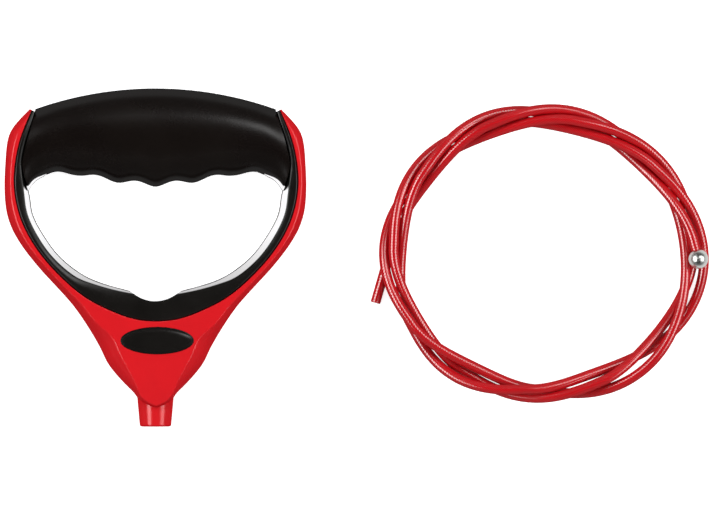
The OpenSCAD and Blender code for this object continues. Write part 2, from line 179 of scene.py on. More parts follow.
def shade(piece, sharp=SMOOTH_TO):
    mesh = piece.data
    mesh.polygons.foreach_set("use_smooth", [True] * len(mesh.polygons))
    mesh.set_sharp_from_angle(angle=math.radians(sharp))
    mesh.update()


def strips(rows, columns, closed_rows=False):
    """Quads that join rows of points, each closed to a ring."""
    last_row = rows if closed_rows else rows - 1
    i, j = np.meshgrid(np.arange(last_row), np.arange(columns), indexing="ij")
    i, j = i.ravel(), j.ravel()
    k, m = (j + 1) % columns, (i + 1) % rows
    return np.stack([i * columns + j, m * columns + j, m * columns + k, i * columns + k], axis=-1)


def loft(name, rings, sharp=SMOOTH_TO):
    """A closed solid through rings that all have as many points."""
    rings = np.asarray(rings, float)
    rows, columns = rings.shape[:2]
    faces = strips(rows, columns).tolist()
    faces.append(list(range(columns)))
    faces.append(list(range(rows * columns - 1, (rows - 1) * columns - 1, -1)))
    piece = add_piece(name, rings.reshape(-1, 3), faces, sharp)
    face_out(piece, sharp)
    return piece


def face_out(piece, sharp=SMOOTH_TO):
    """Turns a closed mesh's faces outwards."""
    work = bmesh.new()
    work.from_mesh(piece.data)
    bmesh.ops.remove_doubles(work, verts=work.verts, dist=1e-7)
    bmesh.ops.recalc_face_normals(work, faces=work.faces)
    if work.calc_volume(signed=True) < 0:
        bmesh.ops.reverse_faces(work, faces=work.faces)
    work.to_mesh(piece.data)
    work.free()
    shade(piece, sharp)


def turned(name, profile, place, sides=128, sharp=SMOOTH_TO):
    """A solid of revolution from a profile of (radius, distance along the axis). place maps
    (x, y, along) arrays to points in the row frame."""
    angle = once_round(sides)
    rings = []
    for radius, along_axis in profile:
        rings.append(place(radius * np.cos(angle), radius * np.sin(angle), np.full(sides, along_axis)))
    return loft(name, rings, sharp)


def rounded(points, corners, steps=5):
    """Rounds chosen corners of an open line of points. corners maps an index to a distance."""
    made = []
    for i, p in enumerate(points):
        if i not in corners:
            made.append(p)
            continue
        back, on = points[i - 1] - p, points[i + 1] - p
        cut_back = min(corners[i], 0.48 * np.linalg.norm(back))
        cut_on = min(corners[i], 0.48 * np.linalg.norm(on))
        a = p + back / np.linalg.norm(back) * cut_back
        b = p + on / np.linalg.norm(on) * cut_on
        for t in np.linspace(0, 1, steps):
            made.append(a * (1 - t) ** 2 + p * 2 * t * (1 - t) + b * t ** 2)
    return made


def cut(piece, tool, sharp=SMOOTH_TO, operation="DIFFERENCE"):
    """Takes the tool's solid away from the piece, or joins it on, and removes the tool."""
    step = piece.modifiers.new("cut", "BOOLEAN")
    step.operation = operation
    step.solver = "MANIFOLD"
    step.object = tool
    settle(piece)
    bpy.data.objects.remove(tool)
    shade(piece, sharp)


def settle(piece):
    """Turns a piece with its modifiers into a plain mesh."""
    graph = bpy.context.evaluated_depsgraph_get()
    made = bpy.data.meshes.new_from_object(piece.evaluated_get(graph))
    piece.modifiers.clear()
    piece.data = made


# --- Handle: its outlines -------------------------------------------------------------------
#
# They are those of the part's source, but for the seam's first three knots and the length and
# point of the tongues.

HANDLE_W, OUTLINE_W = 145.0, 145.1   # the handle's width, and the one that its outlines are drawn at
OUTLINE_SCALE = HANDLE_W / OUTLINE_W
BODY_HALF = 13.4
GRIP_TOP = 81.1
NECK_END = 81.1
TONGUE_Y = -65.6
TONGUE_L = 7.2
RIDGE_IN = 0.9
TONGUE_SHARE = 1 / 15
TONGUE_POINT = 1.3            # 1 ends the tongue in a half ellipse, and more draws it to a point
NECK_R = 7.6
NECK_ROOT_R = 9.2
TONGUE_T = 1.6
FRAME_STEP = 0.7
RIB_H = 3.0
RIB_D, RIB_SHARE = 1.5, 0.3   # depth of the rib, and the share of a narrow arm that it takes
FIT = 0.05
SIDE_END = math.radians(65)
WALL_CURVE = 1.6
BROW_SHARE = 0.965

SHELL_EDGE = [(60.4, 71.1), (69, 62), (71.4, 54), (72.1, 44), (72.5, 33.5), (71.3, 20), (65.7, 8),
              (56.5, -4.2), (46.4, -15.2), (39.1, -23.5), (32.4, -33.2), (26.8, -42.7), (22.6, -51.2),
              (16, -59.2), (9.5, -65.6)]
SHELL_RIDGE = [(59.4, 70.6), (66, 61.6), (68.7, 53.5), (70, 43.8), (70.3, 33.2), (68.3, 20.4),
               (62.9, 8.6), (54, -3.3), (43.6, -14.4), (35.6, -22.6), (28.5, -31.5), (20.5, -38.8),
               (16.6, -47.5), (11.2, -57.6), (8.4, -64.2)]
SEAM = [(59.6, 70.6), (63.6, 61.4), (66.2, 53.1), (67.9, 43.5), (68.2, 33), (65.9, 20.9), (60.8, 9.4),
        (52.6, -2.2), (41.6, -13.3), (32.5, -20.2), (23.9, -24.6), (16.3, -27.8), (10.2, -29.6),
        (5.6, -30.3), (2.7, -30.5), (0, -30.6)]
FRAME_BROW = [(58.2, 69.9), (61.1, 60.7), (63.4, 52.6), (64.7, 43.3), (63.5, 31.8), (62, 20.8),
              (56.6, 9.4), (49.4, -0.4), (39.4, -9.1), (30.3, -12.7), (22.6, -15), (16, -16.5),
              (10.4, -17.5), (6, -18.2), (3, -18.5), (0, -18.6)]
OPENING = [(57.8, 69.6), (60.6, 60.4), (62.8, 52.4), (64.2, 43), (60.6, 30.6), (59.2, 20.6),
           (53.2, 9.6), (45.9, 0), (36, -7.8), (28.2, -11.6), (21, -13.9), (15, -15.5), (10, -16.8),
           (6, -17.4), (3, -17.7), (0, -17.8)]
FACE_RISE = [(TONGUE_Y - TONGUE_L, (NECK_ROOT_R + TONGUE_T) / BODY_HALF), (-46.5, 1), (-31, 1),
             (-18, 0.975), (0, 0.925), (36, 0.925), (52, 0.905), (61, 0.845), (71, 0.66)]


def along(knots, share):
    """Points at these shares of a list of knots. A list that ends on the centre line goes on
    mirrored, so that both halves meet without a corner."""
    knots = np.asarray(knots, float)
    on = knots[-2] * (-1, 1) if knots[-1][0] == 0 else 2 * knots[-1] - knots[-2]
    wide = np.vstack([2 * knots[0] - knots[1], knots, on])
    s = np.clip(np.asarray(share, float), 0, 1) * (len(knots) - 1)
    i = np.minimum(s.astype(int), len(knots) - 2)
    t = (s - i)[:, None]
    a, b, c, d = wide[i], wide[i + 1], wide[i + 2], wide[i + 3]
    made = (2 * b + (c - a) * t + (2 * a - 5 * b + 4 * c - d) * t ** 2
            + (3 * b - a - 3 * c + d) * t ** 3) / 2
    return made * (OUTLINE_SCALE, 1)


def with_tongue(knots, share, inset):
    share = np.asarray(share, float)
    made = along(knots, np.minimum(share / (1 - TONGUE_SHARE), 1))
    on = share > 1 - TONGUE_SHARE
    angle = (share[on] - 1 + TONGUE_SHARE) / TONGUE_SHARE * math.pi / 2
    last = np.asarray(knots[-1], float)
    made[on] = np.stack([last[0] * OUTLINE_SCALE * np.cos(angle) ** TONGUE_POINT,
                         last[1] - (TONGUE_L - inset / 2) * np.sin(angle) ** TONGUE_POINT], axis=-1)
    return made


def blurred(values, reach, spread):
    """Values along a line with their corners softened, over this many neighbours each way."""
    weight = np.exp(-0.5 * (np.arange(-reach, reach + 1) / spread) ** 2)
    return np.convolve(np.pad(values, reach, mode="edge"), weight / weight.sum(), mode="valid")


RISE_Y = np.arange(-90, 90.1, 0.5)
RISE_Z = BODY_HALF * blurred(np.interp(RISE_Y, *np.array(FACE_RISE).T), 24, 8.0)


def rise(y):
    """Height of the shells' faces over the mid plane."""
    return np.interp(y, RISE_Y, RISE_Z)


def smoothed(line, reach, more=0, until=0):
    """Evens the small swings between knots out of a dense line, with its ends kept. It is evened
    as often as reach says, and up to the point until as often as more says."""
    line = np.array(line)
    for turn in range(max(reach, more)):
        even = (line[:-2] + 2 * line[1:-1] + line[2:]) / 4
        part = slice(0, len(even) if turn < reach else until)
        line[1:-1][part] = even[part]
    return line


STATIONS = 150
STATION_POWER = 0.92          # under 1 sets the stations closer together towards the neck
# How often the lines are evened: the shells' on the whole and up to a station on the arms, and
# the frame's.
SHELL_EVEN, FRAME_EVEN = {"reach": 6, "more": 18, "until": 50}, {"reach": 12}
half_shares = (np.arange(STATIONS + 1) / STATIONS) ** STATION_POWER
edge_line = smoothed(with_tongue(SHELL_EDGE, half_shares, 0), **SHELL_EVEN)
ridge_line = smoothed(with_tongue(SHELL_RIDGE, half_shares, RIDGE_IN), **SHELL_EVEN)
seam_line = smoothed(along(SEAM, half_shares), **FRAME_EVEN)
brow_line = smoothed(along(FRAME_BROW, half_shares), **FRAME_EVEN)
opening_line = smoothed(along(OPENING, half_shares), **FRAME_EVEN)
out_line = edge_line - seam_line
out_line /= np.linalg.norm(out_line, axis=1)[:, None]
rib_line = np.minimum(RIB_D, np.linalg.norm(edge_line - seam_line, axis=1) * RIB_SHARE)


def at_height(flat, z):
    return np.array([flat[0], flat[1], z])


def both_sides(half_rings):
    """Rings of the right half from the arm's tip to the centre line, and on to the left tip."""
    right = np.asarray(half_rings)
    left = right[-2::-1] * (-1, 1, 1)
    return np.concatenate([right, left])


def whole(half_line):
    """A flat line of the right half, and on to the left tip."""
    return both_sides(np.c_[half_line, np.zeros(len(half_line))])[:, :2]


def to_row(rings, up=1):
    """From heights over the mid plane to heights over the floor. up is -1 for the rear."""
    rings = np.array(rings)
    rings[..., 2] = BODY_HALF + up * rings[..., 2]
    return rings


# --- Shells ---------------------------------------------------------------------------------

SIDE_STEPS = 16
PANEL_STEPS = 10
PARTING = 0.16                # half of the fine groove where the two shells meet
CREASE, ARM_CREASE = 0.4, 2.2   # rounding between the side and the panel, and on the arms
CREASE_STEPS = 8
ARM_ENDS = (35, 60)           # the stations between which the arm turns into the panel
SEAM_ROUND = 0.45             # rounding of the panel's edge at the black frame


def shortened(line, end):
    """As many points along a line that stops before its end, by less than half of it."""
    line = np.array(line)
    gone = np.r_[0, np.cumsum(np.linalg.norm(np.diff(line, axis=0), axis=1))]
    at = gone * (1 - min(end / gone[-1], 0.45))
    return np.stack([np.interp(at, gone, line[:, k]) for k in range(3)], axis=-1)


def shell_ring(i):
    e, r, s = edge_line[i], ridge_line[i], seam_line[i]
    top = rise(r[1])
    inward = (r - e) / np.linalg.norm(r - e)
    side = [at_height(e, PARTING)]
    for a in SIDE_END * np.arange(1, SIDE_STEPS + 1) / SIDE_STEPS:
        side.append(at_height(e + (r - e) * (1 - math.cos(a)) / (1 - math.cos(SIDE_END)),
                              top * math.sin(a) / math.sin(SIDE_END)))
    panel = [at_height(s + (r - s) * t, rise((s + (r - s) * t)[1]))
             for t in np.arange(PANEL_STEPS + 1) / PANEL_STEPS]
    crease, reach = side[-1], np.interp(i, ARM_ENDS, (ARM_CREASE, CREASE))
    side, panel = shortened(side, reach), shortened(panel, reach)
    line = [at_height(e + inward * PARTING, 0), *side]
    for t in np.arange(1, CREASE_STEPS) / CREASE_STEPS:
        line.append(side[-1] * (1 - t) ** 2 + crease * 2 * t * (1 - t) + panel[-1] * t ** 2)
    line += list(panel[::-1])
    corner = len(line) - 1
    half_rib = RIB_H / 2 + FIT
    g = s + out_line[i] * (rib_line[i] + FIT)
    line += [at_height(s, half_rib), at_height(g, half_rib), at_height(g, 0)]
    return rounded(line, {corner: SEAM_ROUND})


def neck_place(x, y, along_axis):
    """From about the neck's axis, with its length along -Y, to the row frame."""
    return np.stack([x, -along_axis, BODY_HALF + y], axis=-1)


NOZZLE_TOP = -33.5
SPIGOT_R = 8.0
COLLAR_Y = -44.0
COLLAR_R = 10.6
COLLAR_L = 4.0
ROOT_IN = 4.0
FLARE_L = 4.0
BORE_R = 3.0
SEAT_R = 6.8
SEAT_T = 2.0
POCKET_R = 5.3
# Where the ball's pocket is cut along the neck's axis: in the frame, and from where in the shells.
FRAME_POCKET, SHELL_POCKET = (14.0, 40.0), 20.0


def nozzle_outline(grow):
    a, c, root = -NOZZLE_TOP, -COLLAR_Y, -TONGUE_Y
    return [(SPIGOT_R + grow, a - grow), (SPIGOT_R + grow, c - grow), (COLLAR_R + grow, c - grow),
            (COLLAR_R + grow, c + COLLAR_L + grow), (SPIGOT_R + grow, c + COLLAR_L + grow),
            (SPIGOT_R + grow, root - ROOT_IN - FLARE_L), (NECK_ROOT_R + grow, root - ROOT_IN),
            (NECK_R + grow, NECK_END)]


BADGE_AT = (0.4, -39.8)
BADGE_W, BADGE_H, BADGE_T = 35.0, 13.0, 1.6
BADGE_SINK, BADGE_PLAY = 0.8, 0.1
BADGE_SIDES = 160
SCREW_PLACES = ((19.5, -36.5), (13.8, -53.2))
SCREW_R, HEAD_R, HEAD_H, HEAD_SINK = 1.5, 3.2, 2.2, 1.4
SCREW_L, TIP_L = 18.0, 2.0
SHANK_PLAY, PILOT_PLAY = 0.2, 0.05   # clearance round the shanks, and round the threads
PAST = 1.0                    # how far a cutting tool runs past the face that it cuts


def oval_ring(at, wide, high, z, sides=BADGE_SIDES):
    """A level oval ring about a place, from half its width and half its height."""
    angle = once_round(sides)
    return np.stack([at[0] + wide * np.cos(angle), at[1] + high * np.sin(angle), np.full(sides, z)],
                    axis=-1)


def upright_tool(x, y, radius, low, high, sides=64):
    return loft("tool", [oval_ring((x, y), radius, radius, z, sides) for z in (low, high)])


def make_shell(name, up):
    shell = loft(name, to_row(both_sides([shell_ring(i) for i in range(STATIONS + 1)]), up))
    cut(shell, turned("tool", nozzle_outline(FIT), neck_place))
    cut(shell, turned("tool", [(SEAT_R + FIT, -NOZZLE_TOP - SEAT_T - FIT),
                               (SEAT_R + FIT, -NOZZLE_TOP + FIT)], neck_place))
    cut(shell, turned("tool", [(POCKET_R, SHELL_POCKET), (POCKET_R, -NOZZLE_TOP - SEAT_T + 0.02)],
                      neck_place))
    if up > 0:
        recess = (BADGE_W / 2 + BADGE_PLAY, BADGE_H / 2 + BADGE_PLAY)
        cut(shell, loft("tool", [oval_ring(BADGE_AT, *recess, z)
                                 for z in (2 * BODY_HALF - BADGE_SINK, 2 * BODY_HALF + PAST)]))
    for place in SCREW_PLACES:
        for side in (-1, 1):
            x, y = side * place[0] * OUTLINE_SCALE, place[1]
            if up > 0:
                cut(shell, upright_tool(x, y, SCREW_R + PILOT_PLAY, 0,
                                        HEAD_SINK + HEAD_H + SCREW_L + PAST))
            else:
                cut(shell, upright_tool(x, y, HEAD_R + SHANK_PLAY, -PAST, HEAD_SINK + HEAD_H))
                cut(shell, upright_tool(x, y, SCREW_R + SHANK_PLAY, -PAST, BODY_HALF + PAST))
    return shell


# --- Frame ----------------------------------------------------------------------------------

WALL_STEPS = 14
LIP_IN, LIP_DOWN, LIP_EDGE = 0.9, 1.0, 0.1
NOTCH_R, NOTCH_D = 17.5, 3.2
BROW_ROUND = 1.2
BEAD_IN, BEAD_HALF = 0.25, 0.35   # the fine bead round the opening, along the mid plane
PAINTED_BEAD_MARK = 1.5               # where 0 is moulded black and 1 is the polished wall; this value marks the bead, which gets a painted grey reflection
WALL_TOP = 34.0               # height up to which the frame's own wall is polished
WALL_BLEND = (0.1, 0.5)       # how far before the brow the polish starts, and how long it takes
TOP_BLEND = 1.5               # how far below WALL_TOP it takes to end


def frame_ring(i):
    s, b, o, n = seam_line[i], brow_line[i], opening_line[i], out_line[i]
    inward = (o - s) / np.linalg.norm(o - s)
    high = rise(s[1]) - FRAME_STEP
    brow_high = rise(b[1]) * BROW_SHARE - FRAME_STEP
    lip = min(LIP_IN, np.linalg.norm(o - s) * 0.2)
    line = [at_height(s + n * rib_line[i], RIB_H / 2), at_height(s, RIB_H / 2),
            at_height(s, high - LIP_DOWN), at_height(s + inward * lip * 0.35, high - LIP_DOWN * 0.35),
            at_height(s + inward * lip, high - LIP_EDGE)]
    face_from, face_to = line[-1], at_height(b, brow_high)
    middle = at_height((s + b) / 2, high)
    for t in np.linspace(0, 1, 9)[1:]:
        line.append(face_from * (1 - t) ** 2 + (middle * 2 - (face_from + face_to) / 2) * 2 * t * (1 - t)
                    + face_to * t ** 2)
    brow = len(line) - 1
    for t in np.arange(1, WALL_STEPS) / WALL_STEPS:
        line.append(at_height(b + (o - b) * t, brow_high * (1 - t ** WALL_CURVE)))
    bead = o + inward * BEAD_IN
    line += [at_height(o, BEAD_HALF), at_height(bead, BEAD_HALF * 0.6), at_height(bead, 0)]
    half = np.array(rounded(line, {brow: BROW_ROUND}))
    under = half[-2::-1] * (1, 1, -1)
    return np.concatenate([half, under])


def make_frame():
    piece = loft("frame", to_row(both_sides([frame_ring(i) for i in range(STATIONS + 1)])))
    cut(piece, bar_solid(0), operation="UNION")
    cut(piece, upright_tool(0, OPENING[-1][1] + NOTCH_R - NOTCH_D, NOTCH_R, -PAST,
                            2 * BODY_HALF + PAST, 256))
    cut(piece, turned("tool", [(POCKET_R, y) for y in FRAME_POCKET], neck_place))
    return piece


def wall_marks(flat):
    """How far each of these points is on the frame's polished wall round the opening."""
    brow, seam, inner = whole(brow_line), whole(seam_line), whole(opening_line)
    near = np.argmin(np.linalg.norm(flat[:, None] - brow[None], axis=2), axis=1)
    gone = np.linalg.norm(flat - seam[near], axis=1)
    past_brow = gone - np.linalg.norm(brow[near] - seam[near], axis=1)
    past_wall = gone - np.linalg.norm(inner[near] - seam[near], axis=1)
    polished = np.clip((past_brow + WALL_BLEND[0]) / WALL_BLEND[1], 0, 1)
    below_top = np.clip((WALL_TOP - flat[:, 1]) / TOP_BLEND, 0, 1)
    return polished * below_top * np.where(past_wall < 0.1, 1, PAINTED_BEAD_MARK)


# --- Grip -----------------------------------------------------------------------------------

TOP_ARC_R = 178.0
GRIP_FRONT = 15.0
GRIP_UNDER = 33.8
FINGER_PITCH = 18.4
FINGER_DEPTH = 1.9
BAR_H, BAR_T = 16.0, 14.0
GRIP_ENDS, UNDER_ENDS, GRIP_SHARE = 58.6, 62.2, 0.28
GRIP_CURVE = 2.35             # power of the section's rounding: 2 is an ellipse
GRIP_SIDES, GRIP_RINGS = 120, 301
FRONT_THIN, REAR_THIN = 0.16, 0.1
END_GAP = 0.15
# Rise of the grip's underside over its lowest line, against the distance from the middle.
UNDER_RISE = np.array([(0, 0), (19, 2.1), (37, 5.6), (47, 5.4), (52.6, 4.9), (54.8, 4.4), (56.6, 3.3),
                       (58.8, 0.9), (60.6, -1.6), (62.3, -4.5)])
UNDER_X = np.arange(-80, 80.1, 0.5)
UNDER_Y = blurred(np.interp(np.abs(UNDER_X), *UNDER_RISE.T), 12, 2.5)

band_shares = np.linspace(0, GRIP_SHARE, 60)
band_inner = along(OPENING, band_shares)
band_outer = along(SEAM, band_shares)


def band_x(y, share):
    """The x, at height y, of a share of the way from the frame's inner face to its seam."""
    line = band_inner + (band_outer - band_inner) * share
    return np.interp(y, line[::-1, 1], line[::-1, 0])


def bar_solid(grow):
    """The frame's core bar inside the grip, which ends inside both side bands."""
    middle = (GRIP_TOP + GRIP_UNDER) / 2
    low, high = middle - BAR_H / 2 - grow, middle + BAR_H / 2 + grow
    wide, narrow = band_x(low, 0.5) + grow, band_x(high, 0.5) + grow
    flat = [(-wide, low), (wide, low), (narrow, high), (-narrow, high)]
    return loft("bar", [[(x, y, BODY_HALF + z) for x, y in flat]
                        for z in (-BAR_T / 2 - grow, BAR_T / 2 + grow)])


def grip_line(v, angle):
    """Points of the grip's section at a share v of its half length, in mid-plane heights."""
    x_top, x_under = v * GRIP_ENDS * OUTLINE_SCALE, v * UNDER_ENDS * OUTLINE_SCALE
    top = GRIP_TOP - TOP_ARC_R + math.sqrt(TOP_ARC_R ** 2 - x_top ** 2)
    under = GRIP_UNDER + np.interp(x_under, UNDER_X, UNDER_Y)
    deep = FINGER_DEPTH * (1 - math.cos(2 * math.pi * x_under / FINGER_PITCH)) / 2
    middle, half, thin = (top + under) / 2, (top - under) / 2, abs(v) ** 3
    c, s = np.cos(angle), np.sin(angle)
    y = (middle + half * np.sign(c) * np.abs(c) ** (2 / GRIP_CURVE)
         + deep * np.maximum(-c, 0) ** 2)
    reach = np.where(s > 0, GRIP_FRONT * (1 - FRONT_THIN * thin), BODY_HALF * (1 - REAR_THIN * thin))
    z = reach * np.sign(s) * np.abs(s) ** (2 / GRIP_CURVE)
    return np.stack([v * (band_x(y, 0) - END_GAP), y, z], axis=-1)


def make_grip():
    angle = once_round(GRIP_SIDES)
    grip = loft("grip_cover", to_row([grip_line(v, angle) for v in np.linspace(-1, 1, GRIP_RINGS)]))
    cut(grip, bar_solid(FIT))
    for side in (-1, 1):
        cut(grip, loft("tool", to_row([web_ring(v * side, FIT) for v in WEB_STATIONS])))
    return grip


# The frame's polished wall runs on round the opening's top corners, as a web under the grip.
WEB_FROM = 0.82               # share of the grip's half length at which a web starts
WEB_DEEP, WEB_IN = 1.5, 0.3   # how far it reaches into the grip, and into the frame's side
WEB_SUNK, WEB_RISE = 0.5, 0.03  # it starts this far inside the grip, and comes out over this share
# Height of the web's edge over the grip's lowest line, against the distance from the middle.
WEB_EDGE = np.array([(50.5, 0.0), (52, 0.5), (55, 0.8), (56.8, 1.2), (58.3, 1.7), (60.6, 2.2), (63, 2.4)])
WEB_STEPS = 12
# Angles about the grip's middle: those that are tried for the web's edge, in degrees, the least
# one that it takes, and those of the bead along its mid plane.
WEB_TRIES, WEB_LEAST, WEB_BEAD = np.linspace(0.2, 70, 300), 1.6, (1.2, 0.9, 0.6)
WEB_STATIONS = np.linspace(WEB_FROM, 1.0, 40)


def web_ring(v, grow=0.0):
    """A ring of the web: along the grip's underside from front to back, with the bead on the
    mid plane, and back inside the grip. A grown ring is the room that the grip leaves for it."""
    tries = np.radians(WEB_TRIES)
    under = grip_line(v, np.r_[math.pi, math.pi - tries])
    high = np.interp(abs(under[0, 0]), *WEB_EDGE.T)
    reach = np.interp(high, under[1:, 1] - under[0, 1], tries)
    reach = max(reach, math.radians(WEB_LEAST))
    bead_from, *bead = np.radians(WEB_BEAD)
    turn = np.r_[np.linspace(reach, bead_from, WEB_STEPS), bead]
    turn = np.r_[turn, -turn[::-1]]
    skin = grip_line(v, math.pi - turn)
    on = abs(v) - WEB_FROM
    skin[:, 0] += np.sign(v) * (END_GAP + WEB_IN) * on / (1 - WEB_FROM)
    skin[:, 1] += WEB_SUNK * max(0.0, 1 - on / WEB_RISE)
    inside = skin[::-1] + (0, WEB_DEEP + grow, 0)
    if grow:
        skin[:, 1] -= 1
    else:
        skin[WEB_STEPS + 1:WEB_STEPS + 3, 1] -= BEAD_IN
    return np.concatenate([skin, inside])


def with_webs(frame_piece):
    """The frame with the two webs, in one mesh that marks what of it is polished."""
    points = np.array([v.co[:] for v in frame_piece.data.vertices]) / MM
    faces = [tuple(f.vertices) for f in frame_piece.data.polygons]
    marks = wall_marks(points[:, :2])
    for side in (-1, 1):
        rings = to_row([web_ring(v * side) for v in WEB_STATIONS])
        web = loft("web", rings)
        faces += [tuple(i + len(points) for i in f.vertices) for f in web.data.polygons]
        points = np.vstack([points, [np.array(v.co[:]) / MM for v in web.data.vertices]])
        bpy.data.objects.remove(web)
        across = np.arange(rings.shape[1])
        on_bead = (across == WEB_STEPS + 1) | (across == WEB_STEPS + 2)
        on_wall = np.where(on_bead, PAINTED_BEAD_MARK, across < 2 * WEB_STEPS + 4)
        marks = np.r_[marks, np.tile(on_wall, len(rings))]
    bpy.data.objects.remove(frame_piece)
    piece = add_piece("frame_bent", points, faces)
    mark = piece.data.attributes.new("wall", "FLOAT", "POINT")
    mark.data.foreach_set("value", marks.astype(np.float32))
    return piece


# --- Material helpers -----------------------------------------------------------------------

CLOUD_RANGE = (0.3, 0.7)      # the values between which most of a noise lies
# How far a surface turns from the eye while its gloss goes from that of one seen straight on to
# that of a tilted one, and from that to the one of an edge.
TILT_FROM, EDGE_FROM = (0.0, 0.03), (0.14, 0.34)


class Value:
    """A socket of a material's node, so that the maths on it reads as an expression."""

    def __init__(self, finish, socket):
        self.finish, self.socket = finish, socket

    def maths(self, operation, *others):
        return self.finish.node("Math", {"operation": operation}, dict(enumerate((self, *others))))

    def __add__(self, other):
        return self.maths("ADD", other)

    __radd__ = __add__

    def __sub__(self, other):
        return self.maths("SUBTRACT", other)

    def __rsub__(self, other):
        return self.finish.node("Math", {"operation": "SUBTRACT"}, {0: other, 1: self})

    def __mul__(self, other):
        return self.maths("MULTIPLY", other)

    __rmul__ = __mul__

    def __truediv__(self, other):
        return self.maths("DIVIDE", other)

    def clamped(self):
        return self.maths("MAXIMUM", 0.0).maths("MINIMUM", 1.0)


class Finish:
    """A new material, or the world, and the nodes that it is made of."""

    def __init__(self, name, world=None):
        self.owner = world or bpy.data.materials.new(name)
        self.output = "OutputWorld" if world else "OutputMaterial"
        self.owner.use_nodes = True
        self.tree = self.owner.node_tree
        self.tree.nodes.clear()

    def node(self, kind, settings=None, inputs=None, out=0):
        """Adds a node of this kind, with its settings and then its inputs, and gives one output."""
        made = self.tree.nodes.new("ShaderNode" + kind)
        for key, setting in (settings or {}).items():
            if key == "stops":
                self.set_stops(made.color_ramp, setting)
            else:
                setattr(made, key, setting)
        for key, given in (inputs or {}).items():
            if isinstance(given, Value):
                self.tree.links.new(given.socket, made.inputs[key])
            else:
                made.inputs[key].default_value = given
        return Value(self, made.outputs[out])

    @staticmethod
    def set_stops(ramp, stops):
        while len(ramp.elements) > len(stops):
            ramp.elements.remove(ramp.elements[-1])
        while len(ramp.elements) < len(stops):
            ramp.elements.new(1.0)
        for element, (place, colour) in zip(ramp.elements, stops):
            element.position = place
            element.color = colour if isinstance(colour, tuple) else (colour, colour, colour, 1)

    def place(self):
        return self.node("TexCoord", out="Object")

    def noise(self, scale, detail=3.0, roughness=0.5):
        return self.node("TexNoise", {"noise_dimensions": "3D"},
                         {"Vector": self.place(), "Scale": scale, "Detail": detail,
                          "Roughness": roughness}, "Fac")

    def spread(self, value, low, high, to_low, to_high):
        """Maps a value's range to another one, kept inside it."""
        return self.node("MapRange", {"clamp": True}, {"Value": value, "From Min": low, "From Max": high,
                                                       "To Min": to_low, "To Max": to_high})

    def over(self, cloud, low, high):
        """A value that follows a noise from its darker to its lighter parts."""
        return self.spread(cloud, *CLOUD_RANGE, low, high)

    def blend(self, share, a, b):
        """Mixes two colours."""
        return self.node("Mix", {"data_type": "RGBA"}, {"Factor": share, 6: a, 7: b}, 2)

    def cloudy(self, cloud, a, b):
        """A colour that follows a noise from one to another."""
        return self.blend(self.over(cloud, 0.0, 1.0), a, b)

    def mixed(self, share, a, b):
        """Mixes two shaders."""
        return self.node("MixShader", None, {0: share, 1: a, 2: b})

    def part(self, vector, axis):
        """One coordinate of a vector: 0 for X, 1 for Y, 2 for Z."""
        return self.node("SeparateXYZ", None, {0: vector}, axis)

    def facing(self):
        """How far a surface is turned from the eye: 0 straight on, 1 edge on."""
        return self.node("LayerWeight", None, {"Blend": 0.5}, "Facing")

    def ray(self, kind):
        return self.node("LightPath", out="Is " + kind + " Ray")

    def bump(self, height, depth, strength=1.0, under=None):
        inputs = {"Height": height, "Distance": depth, "Strength": strength}
        if under:
            inputs["Normal"] = under
        return self.node("Bump", None, inputs)

    def surface(self, **inputs):
        """The principled shader, with its socket names written with underscores."""
        return self.node("BsdfPrincipled", None, {k.replace("_", " "): v for k, v in inputs.items()})

    def skin(self, tone, rough, normal, straight, tilted, edge):
        """A moulded surface: its body colour under a clear gloss, whose share is given for a
        surface seen straight on, tilted, and edge on."""
        body = self.surface(Base_Color=tone, Roughness=0.6, Specular_IOR_Level=0.0, Normal=normal)
        shine = self.node("BsdfAnisotropic", {"distribution": "GGX"},
                          {"Color": rgba(1, 1, 1), "Roughness": rough, "Normal": normal})
        facing = self.facing()
        share = (self.spread(facing, *TILT_FROM, straight, tilted)
                 - self.spread(facing, *EDGE_FROM, 0.0, tilted - edge))
        return self.mixed(share, body, shine)

    def close(self, shader):
        out = self.tree.nodes.new("ShaderNode" + self.output)
        self.tree.links.new(shader.socket, out.inputs["Surface"])
        return self.owner


def rgba(red, green, blue):
    return (red, green, blue, 1.0)


# --- Finishes -------------------------------------------------------------------------------


def red_plastic(name, colour, deep, gloss):
    """Moulded glossy plastic, with a faint cloudiness and the mould's fine waviness."""
    f = Finish(name)
    cloud = f.noise(35.0, 4.0, 0.6)
    speck = f.noise(900.0, 2.0, 0.5)
    tone = f.cloudy(cloud, colour, deep)
    rough = f.over(cloud, 0.17, 0.22) + f.spread(speck, 0.5, 0.8, 0.0, 0.06)
    wavy = f.bump(f.noise(160.0, 2.0), 0.00003, 0.35)
    fine = f.bump(speck, 0.000012, 0.35, wavy)
    return f.close(f.skin(tone, rough, fine, 0.012, gloss, 0.006))


